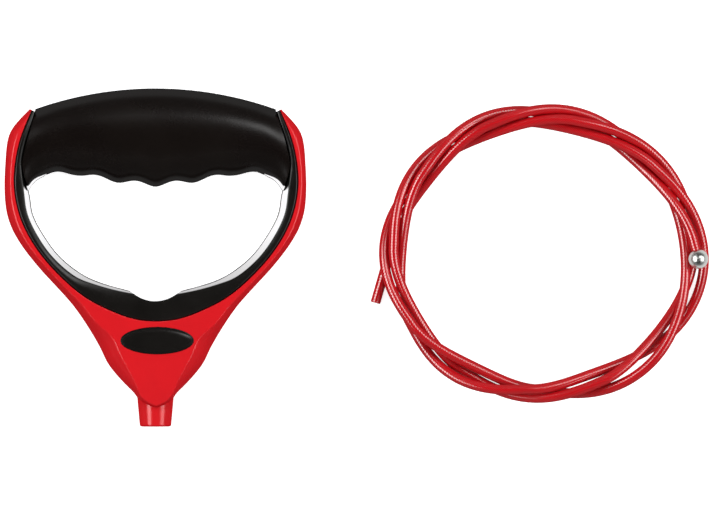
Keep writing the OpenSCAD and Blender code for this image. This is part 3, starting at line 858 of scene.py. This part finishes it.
def black_gloss(name, wall=False):
    """Glossy black plastic. The frame's has a mirror-like wall round the opening, polished
    so that it mirrors what is next to it at a flat angle."""
    f = Finish(name)
    cloud = f.noise(40.0, 4.0, 0.6)
    speck = f.noise(700.0, 2.0, 0.5)
    tone = f.cloudy(cloud, rgba(0.0062, 0.0056, 0.0050), rgba(0.0098, 0.0088, 0.0080))
    rough = f.over(cloud, 0.14, 0.22) + f.spread(speck, 0.5, 0.8, 0.0, 0.08)
    fine = f.bump(speck, 0.00001, 0.3, f.bump(f.noise(140.0, 2.0), 0.00003, 0.35))
    plain = f.skin(tone, rough, fine, 0.006, 0.022, 0.022)
    if not wall:
        return f.close(plain)
    mask = f.node("Attribute", {"attribute_name": "wall"}, out="Fac")
    # The mirror's share is lowered along the opening's lower side: painted shade, standing in for the shaded
    # floor that the wall mirrors there.
    shade_low_wall = f.spread(f.part(f.place(), 1), -12 * MM, 12 * MM, 0.62, 1.0)
    share = f.spread(f.facing(), 0.34, 0.42, 0.0, 1.0) * shade_low_wall
    mirror = f.node("BsdfAnisotropic", {"distribution": "GGX"},
                    {"Color": rgba(0.99, 0.98, 0.99), "Roughness": 0.08})
    dull = f.surface(Base_Color=tone, Roughness=0.7, Specular_IOR_Level=0.1, Normal=fine)
    skin = f.mixed(mask.clamped(), plain, f.mixed(share, dull, mirror))
    # The bead is black like the rest of the frame; its grey is a painted reflection, for the light that it
    # catches along the mid plane.
    bead = f.surface(Base_Color=rgba(0.36, 0.35, 0.36), Roughness=0.5, Normal=fine)
    return f.close(f.mixed(f.spread(mask, 1.1, 1.3, 0.0, 1.0), skin, bead))


def soft_rubber(name):
    """Soft-touch black rubber with a fine, even stipple."""
    f = Finish(name)
    cloud = f.noise(28.0, 4.0, 0.6)
    grain = f.node("TexVoronoi", {"feature": "SMOOTH_F1"},
                   {"Vector": f.place(), "Scale": 1500.0, "Smoothness": 0.6, "Randomness": 1.0}, "Distance")
    tone = f.cloudy(cloud, rgba(0.0044, 0.0030, 0.0026), rgba(0.0060, 0.0043, 0.0036))
    rough = f.over(cloud, 0.24, 0.3)
    skin = f.bump(grain, 0.00004, 0.4, f.bump(cloud, 0.0002, 0.1))
    return f.close(f.skin(tone, rough, skin, 0.006, 0.025, 0.02))


def coating(name):
    """Glossy red vinyl over wire rope, whose lay shows through it a little."""
    f = Finish(name)
    spot = f.node("UVMap", {"uv_map": "lay"})
    lay = ((f.part(spot, 1) - f.part(spot, 0)) * (LAY_WIRES * 2 * math.pi)).maths("COSINE")
    cloud = f.noise(60.0, 3.0, 0.6)
    tone = f.cloudy(cloud, rgba(0.62, 0.008, 0.013), rgba(0.54, 0.006, 0.010))
    tone = f.blend(f.spread(lay, -1.0, 0.6, 0.55, 0.0), tone, rgba(0.26, 0.003, 0.006))
    rough = f.over(cloud, 0.08, 0.12)
    skin = f.bump(lay, 0.00003, 0.4, f.bump(f.noise(300.0, 2.0), 0.00002, 0.2))
    return f.close(f.skin(tone, rough, skin, 0.02, 0.1, 0.015))


def polished_steel(name):
    """Polished steel with the fine rings that turning leaves."""
    f = Finish(name)
    scratch = f.noise(520.0, 3.0, 0.6)
    rough = f.spread(scratch, 0.35, 0.7, 0.28, 0.36)
    tone = f.cloudy(scratch, rgba(0.54, 0.56, 0.54), rgba(0.66, 0.67, 0.65))
    return f.close(f.surface(Base_Color=tone, Metallic=1.0, Roughness=rough,
                             Normal=f.bump(scratch, 0.000008, 0.3)))


def plated_steel(name):
    """Zinc-plated steel, duller and a little mottled."""
    f = Finish(name)
    mottle = f.noise(380.0, 4.0, 0.65)
    tone = f.cloudy(mottle, rgba(0.50, 0.50, 0.51), rgba(0.66, 0.66, 0.65))
    return f.close(f.surface(Base_Color=tone, Metallic=1.0, Roughness=f.over(mottle, 0.26, 0.4),
                             Normal=f.bump(mottle, 0.00001, 0.4)))


def finish_piece(piece, material, slot):
    piece.data.materials.clear()
    piece.data.materials.append(material)


# --- Cable pieces ---------------------------------------------------------------------------

COAT_SIDES = 28
COAT_STEP = 0.9               # distance between the rings of the coating
# Each end of the coating: the rope's hole, the cut face and its small rounded edge, as
# (how far inside its surface, how far in from its end). None is the hole's own radius.
COAT_END = ((None, 4.0), (None, 0.0), (0.3, 0.0), (0.14, 0.02), (0.035, 0.12), (0.0, 0.35))
LAY_WIRES = 16                # wires of the rope that show through the coating
LAY_PITCH = 22.0              # length in which they turn once round


def carried_axes(points):
    """Directions along a line, and two square to them that don't turn about it."""
    ways = np.gradient(points, axis=0)
    ways /= np.linalg.norm(ways, axis=1)[:, None]
    side = np.cross((0, 0, 1.0), ways[0])
    side /= np.linalg.norm(side)
    sides = [side]
    for way in ways[1:]:
        side = sides[-1] - way * np.dot(sides[-1], way)
        sides.append(side / np.linalg.norm(side))
    sides = np.array(sides)
    return ways, sides, np.cross(ways, sides)


def make_coating():
    points = route_of(COAT_STEP)
    ways, sides, ups = carried_axes(points)
    gone = np.r_[0, np.cumsum(np.linalg.norm(np.diff(points, axis=0), axis=1))]
    angle = once_round(COAT_SIDES)

    def ring(i, radius, on=0.0):
        return (points[i] + ways[i] * on + radius * (np.cos(angle)[:, None] * sides[i]
                                                     + np.sin(angle)[:, None] * ups[i]))

    outer = CABLE_D / 2
    end = [(ROPE_R + FIT if inside is None else outer - inside, on) for inside, on in COAT_END]
    last = len(points) - 1
    rings = [ring(0, r, on) for r, on in end]
    rings += [ring(i, outer) for i in range(1, last)]
    rings += [ring(last, r, -on) for r, on in reversed(end)]
    places = [0.0] * len(end) + list(gone[1:last]) + [gone[-1]] * len(end)
    coat = loft("cable_coating", rings, SMOOTH_CABLE)
    # The UV map runs along the cable and once round it, in turns of the lay.
    across = coat.data.uv_layers.new(name="lay").data
    for face in coat.data.polygons:
        spots = [divmod(v, COAT_SIDES) for v in face.vertices]
        wraps = {j for _, j in spots} == {0, COAT_SIDES - 1}
        for loop, (i, j) in zip(face.loop_indices, spots):
            across[loop].uv = (places[i] / LAY_PITCH, 1.0 if wraps and j == 0 else j / COAT_SIDES)
    return coat, points


THROAT_L, THROAT_ROUND = 3.0, 0.35   # depth of the ball's throat, and its rounded edge


def make_ball():
    """The swaged ball: a sphere with a short throat that the coating runs up to."""
    angle = np.linspace(math.pi, math.acos(BALL_FLAT / BALL_R), 48)
    profile = [(max(BALL_R * math.sin(a), 0.02), BALL_R * math.cos(a)) for a in angle]
    profile += [(ROPE_R + THROAT_ROUND, BALL_FLAT - 0.02), (ROPE_R + FIT, BALL_FLAT - THROAT_ROUND),
                (ROPE_R + FIT, BALL_FLAT - THROAT_L)]
    side = np.cross((0, 0, 1.0), -start_way)
    up = np.cross(-start_way, side)

    def place(x, y, on):
        return (ball_at + x[:, None] * side + y[:, None] * up - on[:, None] * start_way)

    return turned("cable_ball_turned", profile, place, 96, SMOOTH_CABLE)


STRAND_COUNT = 6
STRAND_R = 0.52
STRAND_TURNS = 0.3            # how far the strands twist over the length that is made
ROPE_L = 6.0


class Group:
    """A tree of geometry nodes with named inputs, which makes one mesh."""

    def __init__(self, name, inputs):
        self.tree = bpy.data.node_groups.new(name, "GeometryNodeTree")
        self.sockets = {}
        for label, kind in inputs:
            made = self.tree.interface.new_socket(name=label, in_out="INPUT",
                                                  socket_type="NodeSocket" + kind)
            self.sockets[label] = made.identifier
        self.tree.interface.new_socket(name="Geometry", in_out="OUTPUT",
                                       socket_type="NodeSocketGeometry")
        self.given = self.tree.nodes.new("NodeGroupInput").outputs

    def add(self, kind, settings=None, inputs=None, out=0):
        """Adds a node with its settings and inputs. An input that is a list takes each link."""
        made = self.tree.nodes.new(kind)
        for key, value in (settings or {}).items():
            setattr(made, key, value)
        for key, value in (inputs or {}).items():
            for one in value if isinstance(value, list) else [value]:
                if isinstance(one, bpy.types.NodeSocket):
                    self.tree.links.new(one, made.inputs[key])
                else:
                    made.inputs[key].default_value = one
        return made.outputs[out]

    def times(self, a, b):
        return self.add("ShaderNodeMath", {"operation": "MULTIPLY"}, {0: a, 1: b})

    def close(self, geometry):
        real = self.add("GeometryNodeRealizeInstances", None, {"Geometry": geometry})
        painted = self.add("GeometryNodeSetMaterial", None,
                           {"Geometry": real, "Material": self.given["Finish"]})
        self.tree.links.new(painted, self.tree.nodes.new("NodeGroupOutput").inputs[0])

    def build(self, name, values):
        """The plain mesh that the tree makes of these values for its inputs."""
        piece = bpy.data.objects.new(name, bpy.data.meshes.new(name))
        scene.collection.objects.link(piece)
        step = piece.modifiers.new("made", "NODES")
        step.node_group = self.tree
        for label, value in values.items():
            step[self.sockets[label]] = value
        settle(piece)
        return piece


def wire_strands():
    """Strands in a ring round a core strand, twisted along a straight length."""
    group = Group("wire strands", (("Strands", "Int"), ("Strand Radius", "Float"), ("Length", "Float"),
                                   ("Turns", "Float"), ("Finish", "Material")))
    add, given = group.add, group.given
    # One strand: a spiral at the ring's radius, swept with the strand's section.
    ring_r = group.times(given["Strand Radius"], 2.0)
    spiral = add("GeometryNodeCurveSpiral", None,
                 {"Resolution": 24, "Rotations": given["Turns"], "Start Radius": ring_r,
                  "End Radius": ring_r, "Height": given["Length"]})
    section = add("GeometryNodeCurvePrimitiveCircle", None,
                  {"Resolution": 14, "Radius": given["Strand Radius"]})
    strand = add("GeometryNodeCurveToMesh", None,
                 {"Curve": spiral, "Profile Curve": section, "Fill Caps": True})
    # The strand's copies stand turned about the axis, one on each point of a line of points.
    spots = add("GeometryNodePoints", None, {"Count": given["Strands"]})
    step = add("ShaderNodeMath", {"operation": "DIVIDE"}, {0: 2 * math.pi, 1: given["Strands"]})
    about = add("ShaderNodeCombineXYZ", None, {"Z": group.times(add("GeometryNodeInputIndex"), step)})
    copies = add("GeometryNodeInstanceOnPoints", None,
                 {"Points": spots, "Instance": strand, "Rotation": about})
    top = add("ShaderNodeCombineXYZ", None, {"Z": given["Length"]})
    axis = add("GeometryNodeCurvePrimitiveLine", None, {"Start": (0, 0, 0), "End": top})
    core = add("GeometryNodeCurveToMesh", None,
               {"Curve": axis, "Profile Curve": section, "Fill Caps": True})
    group.close(add("GeometryNodeJoinGeometry", None, {0: [copies, core]}))
    return group


def make_rope(material):
    """The bare end of the wire rope, a little inside the coating's cut end."""
    rope = wire_strands().build("cable_rope_end", {
        "Strands": STRAND_COUNT, "Strand Radius": STRAND_R * MM, "Length": ROPE_L * MM,
        "Turns": STRAND_TURNS, "Finish": material})
    side = np.cross((0, 0, 1.0), tail_way)
    up = np.cross(tail_way, side)
    start = (tail_at - tail_way * (ROPE_L + FIT)) * MM
    turn = Matrix([[side[k], up[k], tail_way[k], start[k]] for k in range(3)] + [[0, 0, 0, 1]])
    rope.data.transform(turn)
    shade(rope)
    return rope


# --- Small pieces of the handle -------------------------------------------------------------


NECK_SIDES = 144
NECK_ROUND, MOUTH_ROUND = 1.1, 0.6   # rounding of the neck's open end, outside and at the bore


def make_neck():
    """The tapered neck: lip rounded at its open end, bored through, with its collar inside."""
    outer = nozzle_outline(0)[:-1]
    steps = np.linspace(0, math.pi / 2, 8)
    rim = [(NECK_R - NECK_ROUND * (1 - math.cos(a)), NECK_END - NECK_ROUND * (1 - math.sin(a)))
           for a in steps]
    mouth = [(BORE_R + MOUTH_ROUND * (1 - math.sin(a)), NECK_END - MOUTH_ROUND * (1 - math.cos(a)))
             for a in steps]
    flank = [tuple(p) for p in np.linspace(outer[-1], rim[0], 20)[1:-1]]
    profile = [(BORE_R, -NOZZLE_TOP), *outer, *flank, *rim, *mouth]
    angle = once_round(NECK_SIDES)
    rings = [neck_place(r * np.cos(angle), r * np.sin(angle), np.full(NECK_SIDES, y)) for r, y in profile]
    faces = strips(len(rings), NECK_SIDES, closed_rows=True).tolist()
    piece = add_piece("neck_moulded", np.array(rings).reshape(-1, 3), faces, SMOOTH_SMALL)
    face_out(piece, SMOOTH_SMALL)
    return piece


RIM_W, RIM_Z = 0.5, BADGE_T - 0.65   # width of the badge's rim, and its height over the badge's back
RIM_DROP = 0.08               # how far below the rim the badge's face starts
# The rim's section, as (how far in from the badge's edge, height over its back).
RIM_LINE = ((0.0, 0.0), (0.0, RIM_Z - 0.2), (0.08, RIM_Z - 0.05), (0.22, RIM_Z),
            (RIM_W - 0.08, RIM_Z), (RIM_W, RIM_Z - RIM_DROP))
DOME_H, DOME_POWER = 0.73, 6
DOME_RINGS, DOME_END = 40, 0.02


def make_badge():
    """A bare oval badge, domed inside a fine raised rim."""
    base = 2 * BODY_HALF - BADGE_SINK
    rings = [(BADGE_W / 2 - inset, BADGE_H / 2 - inset, base + z) for inset, z in RIM_LINE]
    wide, high, _ = rings[-1]
    for t in np.sin(np.linspace(math.pi / 2, DOME_END, DOME_RINGS)):
        rings.append((wide * t, high * t, base + RIM_Z - RIM_DROP + DOME_H * (1 - t ** DOME_POWER)))
    return loft("badge_domed", [oval_ring(BADGE_AT, *ring) for ring in rings], SMOOTH_SMALL)


# The head's section, as (radius, depth from its flat): a faint dish, and a rounded edge.
HEAD_LINE = ((0.02, 0.25), (1.9, 0.0), (HEAD_R - 0.5, 0.0), (HEAD_R - 0.12, 0.2), (HEAD_R, 0.6),
             (HEAD_R, HEAD_H))
THREAD_PITCH, THREAD_ROOT = 1.4, 0.78   # and the root's radius as a share of the thread's
# The recess of the head, as (height, reach of an arm, half its width), from outside to inside.
CROSS_RECESS = ((HEAD_SINK - PAST, HEAD_R * 0.62, 0.42), (HEAD_SINK + 1.3, HEAD_R * 0.35, 0.3))


def screw_mesh():
    """One self-tapping screw with a cross recess, upright at the origin with its head down."""
    profile = [(r, HEAD_SINK + z) for r, z in HEAD_LINE] + [(SCREW_R * 0.8, HEAD_SINK + HEAD_H)]
    shank_to = HEAD_SINK + HEAD_H + SCREW_L - TIP_L
    root = SCREW_R * THREAD_ROOT
    z = HEAD_SINK + HEAD_H + 0.6
    while z + THREAD_PITCH < shank_to:
        profile += [(root, z), (SCREW_R, z + THREAD_PITCH * 0.35), (root, z + THREAD_PITCH * 0.7)]
        z += THREAD_PITCH
    profile += [(root, shank_to), (0.3, shank_to + TIP_L)]

    def place(x, y, on):
        return np.stack([x, y, on], axis=-1)

    screw = turned("screw", profile, place, 40, SMOOTH_SMALL)
    for turn in (45, 135):
        a = math.radians(turn)
        way, across = np.array([math.cos(a), math.sin(a)]), np.array([-math.sin(a), math.cos(a)])
        rings = []
        for z, reach, half in CROSS_RECESS:
            rings.append([(*(way * i * reach + across * j * half), z)
                          for i, j in ((-1, -1), (1, -1), (1, 1), (-1, 1))])
        cut(screw, loft("tool", rings), SMOOTH_SMALL)
    return screw


def screws_on_points():
    """One screw on each of two places, and on the same places over the centre line."""
    group = Group("screws in place", (("Screw", "Object"), ("Half Width Low", "Float"),
                                      ("Half Width High", "Float"), ("Low", "Float"),
                                      ("High", "Float"), ("Finish", "Material")))
    add, given = group.add, group.given
    lines = []
    for side in (-1, 1):
        ends = [add("ShaderNodeCombineXYZ", None, {"X": group.times(given[wide], side), "Y": given[high]})
                for wide, high in (("Half Width Low", "Low"), ("Half Width High", "High"))]
        # With both ends given, the Offset socket holds the second one.
        lines.append(add("GeometryNodeMeshLine", {"mode": "END_POINTS"},
                         {"Count": 2, "Start Location": ends[0], "Offset": ends[1]}))
    joined = add("GeometryNodeJoinGeometry", None, {0: lines})
    held = add("GeometryNodeObjectInfo", None, {"Object": given["Screw"]}, "Geometry")
    group.close(add("GeometryNodeInstanceOnPoints", None, {"Points": joined, "Instance": held}))
    return group


def make_screws(material):
    (high_x, high_y), (low_x, low_y) = SCREW_PLACES
    screw = screw_mesh()
    piece = screws_on_points().build("screws_driven", {
        "Screw": screw, "Half Width High": high_x * OUTLINE_SCALE * MM, "High": high_y * MM,
        "Half Width Low": low_x * OUTLINE_SCALE * MM, "Low": low_y * MM, "Finish": material})
    bpy.data.objects.remove(screw)
    shade(piece, SMOOTH_SMALL)
    return piece


# --- Making it ------------------------------------------------------------------------------

red_shell = red_plastic("red moulded shell", rgba(0.68, 0.010, 0.015), rgba(0.61, 0.009, 0.014), 0.035)
frame_black = black_gloss("black frame", wall=True)
badge_black = black_gloss("black badge")
grip_rubber = soft_rubber("soft grip rubber")
red_coating = coating("red cable coating")
bright_steel = polished_steel("polished steel")
zinc_steel = plated_steel("zinc plated steel")

coat, coat_line = make_coating()
finish_piece(coat, red_coating, "red_coating")
ball = make_ball()
finish_piece(ball, bright_steel, "bright_steel")
rope = make_rope(zinc_steel)
for piece, node in ((coat, "cable_jacket"), (ball, "cable_ball"), (rope, "cable_core")):
    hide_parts(node)
    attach(piece, "cable")
tuple(coat_line[0] * MM)
(coat_line[::3] * MM).tolist()

front = make_shell("front_shell_moulded", 1)
rear = make_shell("rear_shell_moulded", -1)
black_frame = make_frame()
grip = make_grip()
neck = make_neck()
badge = make_badge()
screws = make_screws(zinc_steel)

black_frame = with_webs(black_frame)
for piece, node, material, slot in (
        (front, "front_shell", red_shell, "red_shell"), (rear, "rear_shell", red_shell, "red_shell"),
        (black_frame, "inner_frame", frame_black, "black_frame"), (grip, "grip", grip_rubber, "grip_rubber"),
        (neck, "neck_nozzle", red_shell, "red_neck"), (badge, "badge", badge_black, "badge_black"),
        (screws, "shell_screws", zinc_steel, "plated_steel")):
    finish_piece(piece, material, slot)
    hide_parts(node)
    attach(piece, "handle")
seat_node = NODES["ball_seat"]
seat_node.data.materials.clear()
seat_node.data.materials.append(zinc_steel)

# --- Floor, world and lamps -----------------------------------------------------------------


FLOOR_HALF, FLOOR_Z = 3.0, -0.2 * MM
FLOOR_TONE, FLOOR_LIFT = 0.9, 0.78   # its colour to the eye, and the glow that keeps it white
FLOOR_QUIET = 0.25            # its colour to the light that it throws back up


def make_floor():
    """A white floor that shows the shadows softly, and throws little of its light back up."""
    mesh = bpy.data.meshes.new("floor")
    corners = [(x * FLOOR_HALF, y * FLOOR_HALF, FLOOR_Z) for x, y in ((-1, -1), (1, -1), (1, 1), (-1, 1))]
    mesh.from_pydata(corners, [], [(0, 1, 2, 3)])
    floor = bpy.data.objects.new("floor", mesh)
    scene.collection.objects.link(floor)
    f = Finish("pale floor")
    quiet, plain = (f.node("BsdfDiffuse", None, {"Color": rgba(tone, tone, tone)})
                    for tone in (FLOOR_QUIET, FLOOR_TONE))
    lift, white = (f.node("Emission", None, {"Color": rgba(1, 1, 1), "Strength": strength})
                   for strength in (FLOOR_LIFT, 1.0))
    shown = f.mixed(f.ray("Camera"), quiet, f.node("AddShader", None, {0: plain, 1: lift}))
    mirror = (f.ray("Glossy") + f.ray("Transmission")).clamped()
    mesh.materials.append(f.close(f.mixed(mirror, shown, white)))


OVERHEAD = 0.26               # the room's light straight from above, and from the horizon
HORIZON = 0.20
# Boxes of light that mirrors see: the tangents from the vertical that each one spans, to the
# right and away, as (from, to) pairs, and how bright it is.
BOXES = (((-1.6, -0.66), (-0.65, 0.65), 7.0), ((0.7, 1.7), (-0.65, 0.65), 5.0),
         ((0.22, 0.5), (0.28, 0.6), 7.0))
SOFT_EDGE = 0.1


def make_world():
    """A white room, brighter overhead. Mirrors see a dim ceiling with boxes of light on it."""
    scene.world = bpy.data.worlds.new("studio")
    f = Finish("studio", scene.world)
    way = f.node("TexCoord", out="Generated")
    x, y, z = (f.part(way, axis) for axis in range(3))
    high = z.maths("MAXIMUM", 0.001)
    soft = high * OVERHEAD + HORIZON
    ceiling = f.node("ValToRGB", {"stops": [(0.0, 0.6), (0.12, 0.3), (0.3, 0.12), (1.0, 0.07)]}, {0: high})
    room = f.node("Background", None, {"Color": ceiling, "Strength": 1.0})
    for across, away, strength in BOXES:
        shape = strength
        for tangent, (near, far) in ((x / high, across), (y / high, away)):
            shape = (f.spread(tangent, near - SOFT_EDGE, near + SOFT_EDGE, 0.0, 1.0)
                     * f.spread(tangent, far - SOFT_EDGE, far + SOFT_EDGE, 1.0, 0.0) * shape)
        box = f.node("Background", None, {"Color": rgba(1, 1, 1), "Strength": shape})
        room = f.node("AddShader", None, {0: room, 1: box})
    lit = f.node("Background", None, {"Color": rgba(1, 1, 1), "Strength": soft})
    white = f.node("Background", None, {"Color": rgba(1, 1, 1), "Strength": 1.0})
    f.close(f.mixed(f.ray("Camera"), f.mixed(f.ray("Glossy"), lit, room), white))


# Each lamp's name, place and power. All are square and point at the middle of the object.
LAMPS = (("back box", (-0.1, 1.5, 1.8), 17.0), ("left box", (-1.8, -0.1, 1.3), 25.0),
         ("right box", (2.0, -0.1, 1.3), 28.0))
LAMP_SIZE, LAMP_AIM = 0.9, (0.1, 0, 0)


def make_lamp(name, at, power):
    """A soft box that lights the object but isn't mirrored in it."""
    data = bpy.data.lights.new(name, "AREA")
    data.shape = "RECTANGLE"
    data.size = data.size_y = LAMP_SIZE
    data.energy = power
    lamp = bpy.data.objects.new(name, data)
    lamp.location = at
    lamp.rotation_euler = (Vector(LAMP_AIM) - Vector(at)).to_track_quat("-Z", "Y").to_euler()
    lamp.visible_glossy = False
    scene.collection.objects.link(lamp)


make_floor()
make_world()
for lamp in LAMPS:
    make_lamp(*lamp)
scene.view_settings.view_transform = "Standard"
